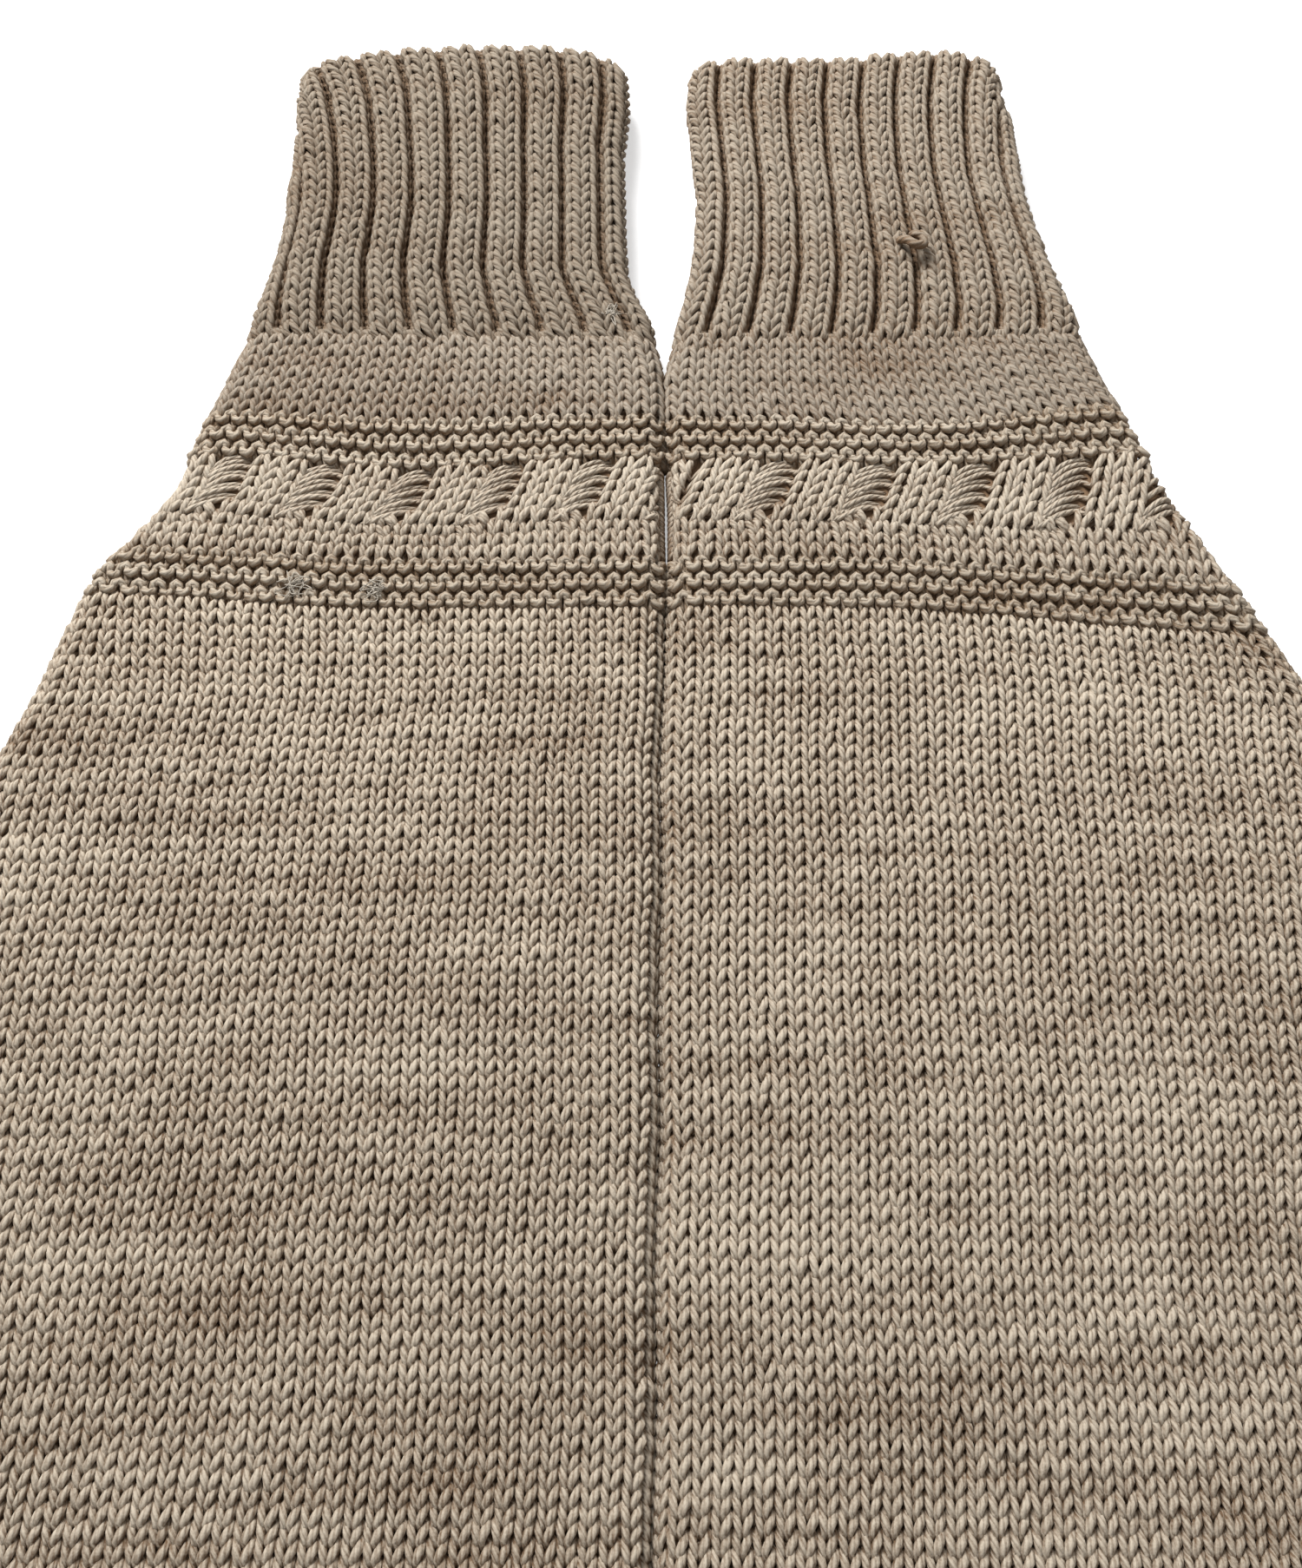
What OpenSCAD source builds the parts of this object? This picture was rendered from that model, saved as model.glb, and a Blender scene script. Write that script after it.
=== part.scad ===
// A pair of long fingerless gloves, knitted in beige wool and laid flat side by side.
// X runs across the pair, Y along the arms with the hand ends at +Y, Z up from the surface they lie on.
// Each glove is one flattened tube: ribbed cuff, plain wrist, two ridged welts with a band of
// crossed stitches between them, and a plain arm that widens away from the hand.

/* [Hand end] */
// Width of the ribbed cuff lying flat
cuff_width = 80; // [60:1:110]
// Length of the ribbed cuff, with its finished edge
cuff_length = 88; // [50:1:140]
// Length of the finished edge of the cuff
cuff_edge_length = 3; // [2:0.5:4.5]
// Radius of the two corners at the hand end
corner_radius = 5; // [5:0.5:9]
// Number of ribs across one side of the cuff
rib_count = 9; // [5:1:12]
// How far the ribs stand out of their gutters
rib_rise = 1.2; // [0.4:0.1:1.8]

/* [Wrist and bands] */
// Length of the plain wrist
wrist_length = 21.5; // [10:0.5:60]
// Length of each ridged welt
welt_length = 12.7; // [8:0.1:24]
// Number of ridges in a welt
welt_ridges = 3; // [1:1:5]
// Height of a ridge
ridge_rise = 0.8; // [0.2:0.1:1.5]
// Length of the band of crossed stitches
band_length = 24; // [12:0.5:48]
// Number of crossings across one side
crossing_count = 5; // [3:1:7]
// Height of the slanted stitches
crossing_rise = 1.2; // [0.4:0.1:1.6]
// How far the slanted stitches shift across the band, in crossings
crossing_lean = 0.5; // [0.2:0.1:1]

/* [Arm] */
// Width of the arm lying flat
arm_width = 139.7; // [110:0.1:190]
// Length of the plain arm
arm_length = 195; // [120:1:320]
// Length of the finished edge at the arm end
hem_length = 6; // [3:0.5:15]
// How far up the cuff the outer edge starts to widen
flare_above_fold = 32.5; // [10:0.5:40]
// Length over which the outer edge widens
flare_length = 170; // [80:1:240]
// How far up the cuff the inner edge starts to widen
inner_above_fold = 27.5; // [10:0.5:40]
// Length over which the inner edge widens
inner_flare_length = 49; // [20:1:100]

/* [Fabric] */
// Thickness of the knitted fabric
fabric = 3; // [2:0.1:3.6]
// Height of the hollow between the front and the back
hollow = 6; // [5:0.1:10]
// How far the rounded side edges reach inwards
side_round = 5.5; // [4.5:0.1:8]
// Width of the seam allowance turned to the inside
seam_width = 3; // [2:0.1:5]
// Thickness of the seam allowance
seam_thickness = 2.4; // [1.2:0.1:3]

/* [Pair] */
// Gap between the two cuffs
cuff_gap = 16; // [6:0.5:40]
// Gap between the two arms
arm_gap = 0.6; // [0.6:0.1:10]
// Gap across the line that a cuff folds on
fold_gap = 0.3; // [0.2:0.1:1]

/* [Yarn end] */
// Distance of the loose yarn end from the middle of the pair
yarn_end_out = 61; // [30:1:75]
// Distance of the loose yarn end above the fold line
yarn_end_up = 26.5; // [10:0.5:45]
// Thickness of the yarn
yarn = 1.7; // [1:0.1:2.4]
// Radius of the loop that the yarn end makes
loop_radius = 2.2; // [1.6:0.1:4]
// How far round the loop goes, in degrees
loop_turn = 250; // [120:5:330]

/* [Hidden] */

wool = [0.59, 0.53, 0.47];
rib_wool = [0.53, 0.48, 0.42];
seam_wool = [0.48, 0.42, 0.36];

// Where each stretch of the glove starts, from the hand end down
total_length = cuff_length + wrist_length + 2 * welt_length + band_length + arm_length + hem_length;
y_top = total_length / 2;
y_cuff_edge = y_top - cuff_edge_length;
y_fold = y_top - cuff_length;
y_upper_welt = y_fold - wrist_length;
y_band = y_upper_welt - welt_length;
y_lower_welt = y_band - band_length;
y_arm = y_lower_welt - welt_length;
y_hem = y_arm - arm_length;
y_end = y_hem - hem_length;

thickness = 2 * fabric + hollow;
middle = thickness / 2;
cuff_outer = cuff_gap / 2 + cuff_width;
arm_outer = arm_gap / 2 + arm_width;
seam_clearance = 0.7;
side_steps = 6;
under_steps = 4;

// Rows of knitting at which each stretch takes its outline
function rows(low, high, steps) = [for (k = [0:steps]) low + (high - low) * k / steps];
cuff_rows = rows(y_fold + fold_gap, y_cuff_edge, 8);
cuff_edge_rows = rows(y_cuff_edge, y_top, 3);
wrist_rows = rows(y_upper_welt, y_fold, 4);
upper_welt_rows = rows(y_band, y_upper_welt, 4 * welt_ridges);
band_rows = rows(y_lower_welt, y_band, 7);
lower_welt_rows = rows(y_arm, y_lower_welt, 4 * welt_ridges);
arm_rows = rows(y_hem, y_arm, 16);
hem_rows = rows(y_end, y_hem, 4);

// Outline of one glove: distance of its inner and outer edge from the middle of the pair
function ease(t) = t <= 0 ? 0 : t >= 1 ? 1 : t * t * (3 - 2 * t);
function corner(y) =
    let (into = y - (y_top - corner_radius))
    into <= 0 ? 0 : corner_radius - sqrt(max(0, corner_radius * corner_radius - into * into));
function inner_edge(y) =
    cuff_gap / 2 - (cuff_gap - arm_gap) / 2 * ease((y_fold + inner_above_fold - y) / inner_flare_length)
    + corner(y);
function outer_edge(y) =
    cuff_outer + (arm_outer - cuff_outer) * ease((y_fold + flare_above_fold - y) / flare_length)
    - corner(y);

// Height of the stitch pattern over the plain fabric, at a share f of the way across and v along
function rib(f) = rib_rise * (1 - pow((1 - cos(360 * rib_count * f - 180)) / 2, 4));
function crossing(f, v, lean) =
    crossing_rise * max(0, cos(360 * (crossing_count * f - lean * crossing_lean * (v - 0.5)) - 180))
    * min(1, 6 * v, 6 * (1 - v), 20 * f, 20 * (1 - f));
function pattern(kind, f, v, lean) = kind == "rib" ? rib(f) : kind == "crossed" ? crossing(f, v, lean) : 0;
function ridge(kind, v) =
    kind == "welt" ? ridge_rise * pow(sin(180 * welt_ridges * v), 2)
    : kind == "edge" ? ridge_rise * sin(180 * v) : 0;

// One closed loop round the tube at height y of the arm, as [x, z] points
function arc(x, rx, rz, from) =
    [for (i = [1:side_steps - 1]) let (a = from - 180 * i / side_steps) [x + rx * cos(a), middle + rz * sin(a)]];
function outside(y, v, across, kind, lean) =
    let (a = inner_edge(y) + side_round, b = outer_edge(y) - side_round, up = ridge(kind, v))
    concat(
        [for (i = [0:across]) let (f = i / across)
            [a + (b - a) * f, thickness + up + pattern(kind, f, v, lean)]],
        arc(b, side_round + up, middle, 90),
        [for (i = [0:under_steps]) [b + (a - b) * i / under_steps, 0]],
        arc(a, side_round, middle, -90)
    );
function inside(y, across) =
    let (a = inner_edge(y) + side_round, b = outer_edge(y) - side_round, r = side_round - fabric)
    concat(
        [for (i = [0:across]) [a + (b - a) * i / across, thickness - fabric]],
        arc(b, r, hollow / 2, 90),
        [for (i = [0:under_steps]) [b + (a - b) * i / under_steps, fabric]],
        arc(a, r, hollow / 2, -90)
    );

function quad(a, b, c, d) = [[a, b, c], [a, c, d]];
function flat(lists) = [for (l = lists) each l];
function after_first(list) = [for (k = [1:len(list) - 1]) list[k]];
function lift(loop, y) = [for (p = loop) [p[0], y, p[1]]];

// A stretch of the hollow tube through the given rows
module knitted_tube(at, across, kind = "plain", lean = 1) {
    last = len(at) - 1;
    n = across + 1 + under_steps + 1 + 2 * (side_steps - 1);
    m = n * (last + 1);
    outer_points = flat([for (k = [0:last]) lift(outside(at[k], k / last, across, kind, lean), at[k])]);
    inner_points = flat([for (k = [0:last]) lift(inside(at[k], across), at[k])]);
    walls = flat([for (k = [0:last - 1], i = [0:n - 1])
        let (j = (i + 1) % n, p = k * n, q = (k + 1) * n)
        concat(quad(p + i, q + i, q + j, p + j), quad(m + p + i, m + p + j, m + q + j, m + q + i))]);
    ends = flat([for (i = [0:n - 1])
        let (j = (i + 1) % n, q = last * n)
        concat(quad(i, j, m + j, m + i), quad(q + i, m + q + i, m + q + j, q + j))]);
    polyhedron(concat(outer_points, inner_points), concat(walls, ends));
}

// The two selvedges joined along the outer edge, turned to the inside as a narrow ridge
module seam_ridge(at) {
    last = len(at) - 1;
    low = middle - seam_thickness / 2;
    points = flat([for (y = at)
        let (b = outer_edge(y) - fabric - seam_clearance, a = b - seam_width)
        [[a, y, low], [a, y, low + seam_thickness], [b, y, low + seam_thickness], [b, y, low]]]);
    sides = flat([for (k = [0:last - 1], i = [0:3])
        let (j = (i + 1) % 4, p = 4 * k, q = 4 * (k + 1))
        quad(p + i, q + i, q + j, p + j)]);
    color(seam_wool) polyhedron(points, concat(sides, quad(0, 1, 2, 3), quad(4 * last, 4 * last + 3,
        4 * last + 2, 4 * last + 1)));
}

module rib_cuff() color(rib_wool) knitted_tube(cuff_rows, 6 * rib_count, "rib");
module cuff_edge() color(rib_wool) knitted_tube(cuff_edge_rows, 6 * rib_count, "rib");
module cuff_seam() seam_ridge(concat(cuff_rows, [y_top - cuff_edge_length / 2]));
module wrist_courses() color(wool) knitted_tube(wrist_rows, 10);
module upper_welt() color(wool) knitted_tube(upper_welt_rows, 10, "welt");
module crossed_band(lean) color(wool) knitted_tube(band_rows, 8 * crossing_count, "crossed", lean);
module lower_welt() color(wool) knitted_tube(lower_welt_rows, 10, "welt");
module arm_tube() color(wool) knitted_tube(arm_rows, 10);
module arm_hem() color(wool) knitted_tube(hem_rows, 10, "edge");
module arm_seam() seam_ridge(concat([y_end + hem_length / 4], arm_rows, after_first(lower_welt_rows),
    after_first(band_rows), after_first(upper_welt_rows), after_first(wrist_rows)));

// A short end of yarn that has worked loose and stands on the ribs as a small loop
module yarn_end() {
    top = thickness + rib_rise + fold_gap + yarn / 2;
    color(wool) translate([yarn_end_out, y_fold + yarn_end_up, top])
        rotate_extrude(angle = loop_turn) translate([loop_radius, 0]) circle(d = yarn, $fn = 24);
}

module left_hand() mirror([1, 0, 0]) children();

left_hand() cuff_edge();  // left_cuff_edge
left_hand() rib_cuff();  // left_rib_cuff
left_hand() cuff_seam();  // left_cuff_seam
left_hand() wrist_courses();  // left_wrist_courses
left_hand() upper_welt();  // left_upper_welt
left_hand() crossed_band(-1);  // left_crossed_band
left_hand() lower_welt();  // left_lower_welt
left_hand() arm_tube();  // left_arm_tube
left_hand() arm_hem();  // left_arm_hem
left_hand() arm_seam();  // left_arm_seam
cuff_edge();  // right_cuff_edge
rib_cuff();  // right_rib_cuff
cuff_seam();  // right_cuff_seam
yarn_end();  // right_yarn_end
wrist_courses();  // right_wrist_courses
upper_welt();  // right_upper_welt
crossed_band(1);  // right_crossed_band
lower_welt();  // right_lower_welt
arm_tube();  // right_arm_tube
arm_hem();  // right_arm_hem
arm_seam();  // right_arm_seam
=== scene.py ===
import math
import bmesh
import bpy
import numpy as np
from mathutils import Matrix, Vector


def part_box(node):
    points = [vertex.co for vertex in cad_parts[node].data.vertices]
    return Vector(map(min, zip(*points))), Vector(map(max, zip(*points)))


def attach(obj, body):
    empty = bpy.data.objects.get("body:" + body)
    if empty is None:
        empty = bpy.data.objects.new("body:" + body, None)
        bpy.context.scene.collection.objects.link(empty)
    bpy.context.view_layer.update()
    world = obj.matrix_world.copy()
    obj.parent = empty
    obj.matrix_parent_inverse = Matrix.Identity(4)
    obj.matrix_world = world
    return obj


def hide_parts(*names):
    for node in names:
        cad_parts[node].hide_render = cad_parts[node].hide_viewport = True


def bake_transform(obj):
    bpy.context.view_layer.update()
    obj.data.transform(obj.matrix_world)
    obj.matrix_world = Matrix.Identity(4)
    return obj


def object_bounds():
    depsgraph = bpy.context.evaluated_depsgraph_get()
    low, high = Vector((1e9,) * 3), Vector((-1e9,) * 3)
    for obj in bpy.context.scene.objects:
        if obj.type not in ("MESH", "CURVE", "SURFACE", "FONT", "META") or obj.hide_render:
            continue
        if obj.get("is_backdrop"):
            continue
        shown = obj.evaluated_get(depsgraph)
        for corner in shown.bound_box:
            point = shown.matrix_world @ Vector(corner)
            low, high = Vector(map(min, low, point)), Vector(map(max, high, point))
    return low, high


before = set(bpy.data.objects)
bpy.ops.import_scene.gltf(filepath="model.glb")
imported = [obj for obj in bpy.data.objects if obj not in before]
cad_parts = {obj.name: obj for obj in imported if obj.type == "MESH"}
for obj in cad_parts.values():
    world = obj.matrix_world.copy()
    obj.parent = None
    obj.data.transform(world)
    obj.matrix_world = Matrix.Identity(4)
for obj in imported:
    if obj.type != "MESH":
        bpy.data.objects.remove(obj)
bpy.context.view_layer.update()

mm = 0.001
HANDS = {"left": -1, "right": 1}


# ---- Arms ----------------------------------------------------------------------------
# The arm of each glove is a flat-lying tube of plain knitting. Every course is one strand
# of soft plied wool: its loops are pulled up through the course below, so each stitch
# shows a thin steep leg and a fuller slanting one, with a dark gap between them.
PLY = 1.6 * mm       # the yarn's middle lies this far under the tube's outer face
EDGE = 1.0 * mm      # and this far inside its side edges
SIDE = 5.5 * mm      # how far the rounded side reaches in from the edge
WALE = 3.5 * mm      # width of one stitch
YARN = 0.72 * mm     # the strand's radius
LIP = 1.3 * mm       # the cloth turns in over this radius at each mouth

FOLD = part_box("left_rib_cuff")[0].y
HAND_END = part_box("left_cuff_edge")[1].y - LIP - YARN
ARM_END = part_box("left_arm_hem")[0].y + LIP + YARN
ARM_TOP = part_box("left_arm_tube")[1].y
ARM_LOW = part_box("left_arm_tube")[0].y
MIDDLE = (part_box("left_arm_tube")[0].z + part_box("left_arm_tube")[1].z) / 2
RISE = MIDDLE - PLY                      # from the tube's middle up to the yarn of a face
BEND = SIDE - PLY                        # how far in the yarn goes while it rounds a side
QUARTER = math.pi / 4 * (RISE + BEND)    # its way from a side to the flat of a face
LOWEST = 1.25 * mm                       # no strand's middle comes closer to the table
TUBES = ("cuff_edge", "rib_cuff", "wrist_courses", "upper_welt", "crossed_band",
         "lower_welt", "arm_tube", "arm_hem")


def ease(t):
    t = np.clip(t, 0.0, 1.0)
    return t * t * (3 - 2 * t)


def edges_of(hand):
    """Stations along a glove with the distance of its inner and outer edge from the middle."""
    corners = np.array([v.co[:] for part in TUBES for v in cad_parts[f"{hand}_{part}"].data.vertices])
    along = np.round(corners[:, 1], 4)
    stations = np.unique(along)
    inner = np.array([np.abs(corners[along == y, 0]).min() for y in stations])
    outer = np.array([np.abs(corners[along == y, 0]).max() for y in stations])
    return stations, inner, outer


EDGES = {hand: edges_of(hand) for hand in HANDS}


def girth(hand, y):
    """Inner and outer line of the cloth at y, and its length from one side round to the other."""
    stations, inner, outer = EDGES[hand]
    a = np.interp(y, stations, inner) + EDGE
    b = np.interp(y, stations, outer) - EDGE
    return a, b, 2 * QUARTER + (b - a - 2 * BEND)


# How the worn pair lies: places along a glove and, for each, how far in mm. The sides are pulled out
# from the middle of their glove, the courses sag towards the arm at the outer side and dip between the
# sides, and the whole pair leans to the right.
OUTER_PULL = {"left": ((-0.03, 0.0, 0.03, 0.05, 0.07, 0.10, 0.13, 0.18),
                       (0, -1.5, 2.5, -1.5, 2.0, 3.2, 1.7, 3.5)),
              "right": ((-0.12, 0.0, 0.03, 0.055, 0.08, 0.10, 0.14, 0.18),
                        (0, 6.0, 4.0, 1.8, 2.5, 4.5, -0.7, -2.4))}
INNER_PULL = {"left": ((0.026, 0.036, 0.052, 0.065, 0.088, 0.097, 0.110, 0.15, 0.165),
                       (0, 0.1, 0.1, 0.3, 1.6, 1.4, -1.4, -2.3, -1.0)),
              "right": ((0.026, 0.036, 0.048, 0.060, 0.085, 0.10, 0.135, 0.165),
                        (0, -0.1, -0.2, 0.2, 0.8, 0.8, -1.2, 1.0))}
SAG = {"left": ((-0.05, 0.021, 0.034, 0.058, 0.071, 0.095), (0, -3.0, -2.6, -1.4, -1.0, 0)),
       "right": ((-0.11, -0.03, 0.021, 0.034, 0.058, 0.071, 0.095), (0, 3.4, 6.2, 4.6, -1.0, -2.6, 0))}
SAG_FROM = {"left": 0.45, "right": 0.3}      # how far across a glove the sag begins
DIP = {"left": ((0.034, 0.056, 0.071, 0.095), (0, 2.6, 1.2, 0)),
       "right": ((0.030, 0.058, 0.071, 0.095), (0, 1.6, 2.6, 0))}
DIP_FROM = {"left": 0.15, "right": 0.2}      # how far across the dip begins
DIP_WIDE = 0.8                               # and how wide it is, as a share of the glove
LEAN_RIGHT = ((-0.16, -0.02, 0.03, 0.09), (-2.3, -0.7, 0.6, 0.0))
# The hand-end mouth is not cut straight: how far it stands out, from the inner to the outer side, in mm.
MOUTH = {"left": ((0, 0.06, 0.2, 0.5, 0.8, 0.94, 1), (-2.0, 0.6, 2.6, 2.9, 1.4, -0.6, -3.0)),
         "right": ((0, 0.1, 0.3, 0.55, 0.72, 0.88, 0.96, 1), (-2.4, -1.6, -2.0, -1.6, 0.6, 1.4, -0.6, -3.0))}
MOUTH_REACH = 30 * mm                        # the unevenness begins this far from the mouth


def settle(hand, x, y, z):
    """Moves places on a straight glove to where they lie in the settled, slightly sagging pair."""
    a, b, _ = girth(hand, y)
    across = (np.abs(x) - a) / (b - a)
    far = ease((across - SAG_FROM[hand]) / (1 - SAG_FROM[hand]))
    between = np.sin(math.pi * np.clip((across - DIP_FROM[hand]) / DIP_WIDE, 0, 1)) ** 2
    y = y - (np.interp(y, *SAG[hand]) * far + np.interp(y, *DIP[hand]) * between) * mm
    across = np.clip(across, 0, 1)
    out = np.interp(y, *OUTER_PULL[hand]) * across - np.interp(y, *INNER_PULL[hand]) * (1 - across)
    x = x + HANDS[hand] * out * mm
    near_mouth = ease((y - HAND_END + MOUTH_REACH) / (MOUTH_REACH - 2 * mm))
    y = y + np.interp(across, *MOUTH[hand]) * mm * near_mouth
    waver = 0.25 * np.sin(y * 130) * ease((0.03 - y) / 0.05)
    x = x + (np.interp(y, *LEAN_RIGHT) + waver) * mm
    return x, y, z


def lay(hand, face, s, y, lift):
    """A point of the cloth: s round the tube from its inner side, y along it, lift out of the cloth.

    Past a mouth, y goes on round the lip to the inside. Face is 1 on top of the glove and -1 under it."""
    turn = (np.maximum(y - HAND_END, 0) + np.maximum(ARM_END - y, 0)) / LIP
    way = np.where(y > 0, 1.0, -1.0)
    y = np.clip(y, ARM_END, HAND_END)
    a, b, span = girth(hand, y)
    inner = np.clip(s / QUARTER, 0, 1) * math.pi / 2
    outer = np.clip((s - span + QUARTER) / QUARTER, 0, 1) * math.pi / 2
    x = a + BEND * (1 - np.cos(inner)) + np.clip(s - QUARTER, 0, span - 2 * QUARTER) + BEND * np.sin(outer)
    z = face * RISE * np.sin(inner) * np.cos(outer)
    nx, nz = np.sin(outer) - np.cos(inner), face * np.sin(inner) * np.cos(outer)
    size = np.hypot(nx, nz)
    out = lift * np.cos(turn) - LIP * (1 - np.cos(turn))
    x = x + nx / size * out
    z = MIDDLE + z + nz / size * out
    y = y + way * (LIP + lift) * np.sin(turn)
    uneven = 0.35 * np.sin(x * 61 + y * 23 + 1) + 0.3 * np.sin(y * 47 - x * 31 + HANDS[hand])
    z = z + np.where(z > MIDDLE, uneven, 0) * mm
    x, y, z = settle(hand, x * HANDS[hand], y, z)
    return np.stack([x, y, np.maximum(z, LOWEST)], -1)


def run_through(points, count, shift=None):
    """A smooth line through the points of one open strand, or of one stitch that repeats by the shift."""
    knots = np.array(points, float)
    gaps = np.linalg.norm(np.diff(knots[:, :3], axis=0), axis=1)
    if shift is None:
        knots = np.vstack([2 * knots[0] - knots[1], knots, 2 * knots[-1] - knots[-2]])
        before, after = gaps[0], gaps[-1]
    else:
        knots = np.vstack([knots[-2] - shift, knots, knots[1] + shift])
        before, after = gaps[-1], gaps[0]
    way = np.concatenate([[0], np.cumsum(gaps)])
    wanted = np.linspace(0, way[-1], count, endpoint=shift is None)
    i = np.clip(np.searchsorted(way, wanted, side="right"), 1, len(gaps))
    way = np.concatenate([[-before], way, [way[-1] + after]])
    gap = (way[i + 1] - way[i])[:, None]
    f = (wanted - way[i])[:, None] / gap
    leaving = (knots[i + 1] - knots[i - 1]) / (way[i + 1] - way[i - 1])[:, None]
    arriving = (knots[i + 2] - knots[i]) / (way[i + 2] - way[i])[:, None]
    return ((2 * f**3 - 3 * f**2 + 1) * knots[i] + (f**3 - 2 * f**2 + f) * gap * leaving
            + (-2 * f**3 + 3 * f**2) * knots[i + 1] + (f**3 - f**2) * gap * arriving)


# One loop, in stitch widths: across, along, out of the cloth, and the strand's thickness.
STEEP_LEG = [(0, -.55, -.22, 1.0), (.24, -.54, -.12, .92), (.41, -.30, .14, .95), (.34, .18, .30, 1.05),
             (.22, .62, .12, .98), (.28, .93, -.12, .94), (.52, 1.00, -.19, 1.0)]
FULL_LEG = [(.83, 1.0, -.12, .94), (.97, .70, .06, 1.0), (.80, .22, .32, 1.16), (.60, -.24, .16, 1.02),
            (.78, -.52, -.12, .92), (1, -.55, -.22, 1.0)]
ONE_STITCH = np.array([1, 0, 0, 0])
LOOPS = {1: run_through(STEEP_LEG + FULL_LEG, 11, ONE_STITCH),
         -1: run_through(STEEP_LEG + FULL_LEG, 7, ONE_STITCH)}
ROW = 0.8            # a course is this high, in the stitch widths of its loops
FOOT = 0.2           # and its own line lies this share of a course above its start
LAST_FEW = 5         # stitches at the outer side that take up what is left of the girth


def even_wales(hand, y, u, count):
    """Stitches keep one width from the inner side; the last few take up what is left."""
    span = girth(hand, y)[2]
    kept = count - LAST_FEW
    own = np.where(u < kept, u * WALE, kept * WALE + (u - kept) * (span - kept * WALE) / LAST_FEW)
    spread = ease((FOLD - y) / (FOLD - ARM_TOP))
    return own * spread + span * u / count * (1 - spread)


def always_front(j, u):
    return np.ones_like(u)


def no_relief(j, u, v, y):
    return np.zeros_like(u)


def work_courses(hand, face, low, height, rows, seed, crossing=always_front, relief=no_relief,
                 wales=None, place=even_wales, slack=0.045, shapes=LOOPS, plump=1.0):
    """One strand for each course: its points, its thickness and how deep it lies in the cloth.

    Crossing tells which stitches come to the front (1) or the back (-1) of the cloth, relief how far
    they stand out of it, place where they lie round the tube, and slack how uneven the tension is."""
    rng = np.random.default_rng(seed)
    mirrored = HANDS[hand] * face < 0
    strands = []
    for j in rows:
        base = low + (j + FOOT) * height
        if callable(wales):
            count = wales(hand, base)
        else:
            count = wales or int(round(float(girth(hand, base)[2]) / WALE))
        loop = shapes[face].copy()
        if mirrored:
            loop = np.vstack([[0, *loop[0, 1:]], (loop * [-1, 1, 1, 1] + [1, 0, 0, 0])[:0:-1]])
        start = np.append(np.repeat(np.arange(count), len(loop)), count - 1)
        u = start + np.append(np.tile(loop[:, 0], count), 1.0)
        v, w, thick = (np.append(np.tile(loop[:, k], count), loop[0, k]) for k in (1, 2, 3))
        loose = rng.normal(0, slack, (count + 1, 4))
        loose[0] = loose[-1] = 0
        k = np.clip(np.floor(u).astype(int), 0, count - 1)
        f = (u - k)[:, None]
        near = loose[k] * (1 - f) + loose[np.minimum(k + 1, count)] * f
        here, above, part = crossing(j, u), crossing(j + 1, u), ease(v / 0.4)
        w = w * (here * (1 - part) + above * part)
        y = base + (v + near[:, 1]) * height / ROW
        lift, stand = (w + near[:, 2]) * WALE, relief(j, u, v, y)
        s = place(hand, y, np.clip(u + near[:, 0], 0, count), count)
        # How deep a point lies sets the painted shade of the wool there.
        deep = 0.5 - (lift + 0.8 * stand) / (2 * mm)
        strands.append((lay(hand, face, s, y, lift + stand), plump * thick * (1 + near[:, 3]), deep))
    return strands


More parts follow.
